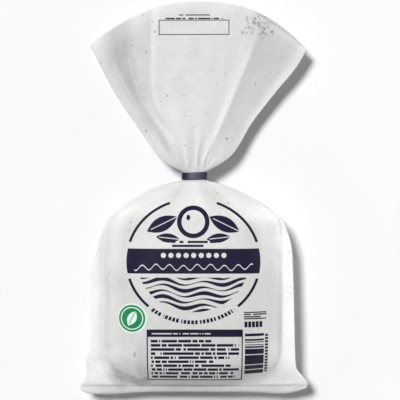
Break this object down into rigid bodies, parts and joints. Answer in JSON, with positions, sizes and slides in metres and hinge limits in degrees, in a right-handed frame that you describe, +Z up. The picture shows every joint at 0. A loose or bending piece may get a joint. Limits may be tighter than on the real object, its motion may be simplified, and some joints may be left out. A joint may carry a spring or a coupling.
{
  "type": "bag of mozzarella",
  "caption": "Filled bag of soft white cheese lying on its back: rounded block in milky film, flat seal at the foot, taped neck and fanned-out top.",
  "frame": {"origin": "middle of the base of the box, on the surface that the bag lies on", "axes": "+X to the right of the printed front, +Y from the flat seal to the open end of the fan, +Z up out of the front"},
  "size_m": [0.1732, 0.2988, 0.072],
  "materials": {
    "film": "milky semi-gloss plastic film, softly creased, with navy and green fields of print on the front",
    "tape": "glossy navy plastic tape, wound in several turns"
  },
  "bodies": {
    "root": {"bag": "film", "neck_tape": "tape"}
  },
  "joints": []
}
